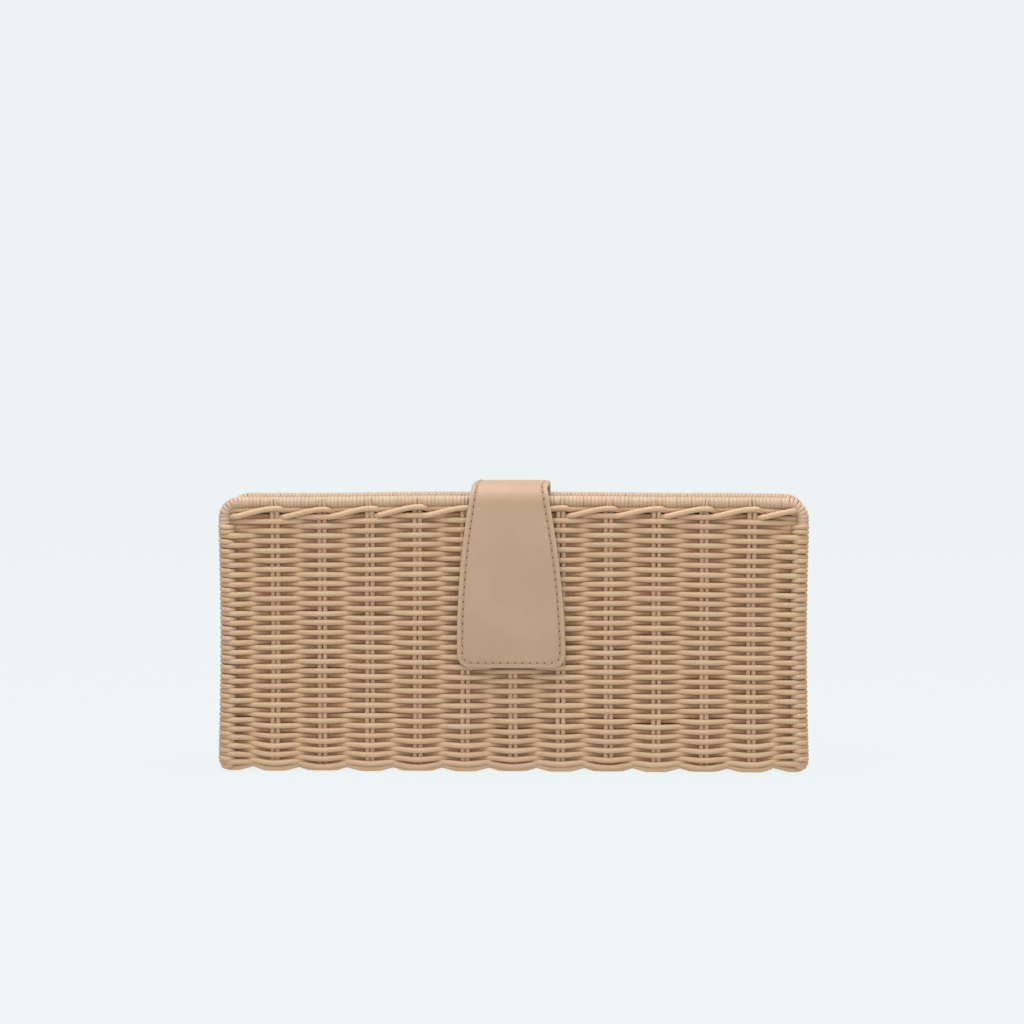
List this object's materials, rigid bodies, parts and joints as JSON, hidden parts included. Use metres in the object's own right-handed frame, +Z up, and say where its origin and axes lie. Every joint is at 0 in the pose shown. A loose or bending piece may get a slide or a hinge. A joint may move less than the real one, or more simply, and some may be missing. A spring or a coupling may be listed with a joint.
{
  "type": "woven box bag",
  "caption": "Slim upright woven reed box bag with bound rims, a cloth lining and a leather strap that folds over the open top and closes on a hidden magnet",
  "frame": {"origin": "centre of the flat face the bag stands on, midway between its front and back walls", "axes": "+X to the bag's right seen from the front (its width), +Y to the back, +Z up; the front with the flap faces -Y"},
  "size_m": [0.29, 0.0682, 0.1411],
  "materials": {
    "reed": "natural round reed, satin",
    "frame_rod": "peeled rod, matte",
    "cane": "split cane, satin",
    "lining": "plain woven cotton",
    "strap_leather": "smooth vegetable-tanned leather, sewn edge",
    "magnet": "nickel plated",
    "steel": "plain steel",
    "rivet_brass": "antiqued"
  },
  "bodies": {
    "basket": {"wall_weave": "reed", "base_weave": "reed", "stake_01": "reed", "stake_02": "reed", "stake_03": "reed", "stake_04": "reed", "stake_05": "reed", "stake_06": "reed", "stake_07": "reed", "stake_08": "reed", "stake_09": "reed", "stake_10": "reed", "stake_11": "reed", "stake_12": "reed", "stake_13": "reed", "stake_14": "reed", "stake_15": "reed", "stake_16": "reed", "stake_17": "reed", "stake_18": "reed", "stake_19": "reed", "stake_20": "reed", "stake_21": "reed", "stake_22": "reed", "left_end_stake_front": "reed", "left_end_stake_back": "reed", "right_end_stake_front": "reed", "right_end_stake_back": "reed", "front_frame_rod": "frame_rod", "back_frame_rod": "frame_rod", "left_rim_rod": "frame_rod", "right_rim_rod": "frame_rod", "front_rim_binding": "cane", "back_rim_binding": "cane", "left_rim_binding": "cane", "right_rim_binding": "cane", "lining": "lining", "tail_inner_leather": "strap_leather", "tail_outer_leather": "strap_leather", "keeper_patch": "strap_leather", "keeper_disc": "steel", "left_rivet": "rivet_brass", "right_rivet": "rivet_brass", "left_washer": "rivet_brass", "right_washer": "rivet_brass"},
    "bridge": {"bridge_inner_leather": "strap_leather", "bridge_outer_leather": "strap_leather"},
    "flap": {"flap_inner_leather": "strap_leather", "flap_outer_leather": "strap_leather", "flap_magnet": "magnet"}
  },
  "joints": [
    {"name": "strap_fold", "type": "hinge", "parent": "basket", "child": "bridge", "pos_m": [0, 0.03032, 0.13852], "axis": [-1, 0, 0], "range_deg": [0, 150]},
    {"name": "flap_fold", "type": "hinge", "parent": "bridge", "child": "flap", "pos_m": [0, -0.03152, 0.13852], "axis": [-1, 0, 0], "range_deg": [0, 120]}
  ]
}
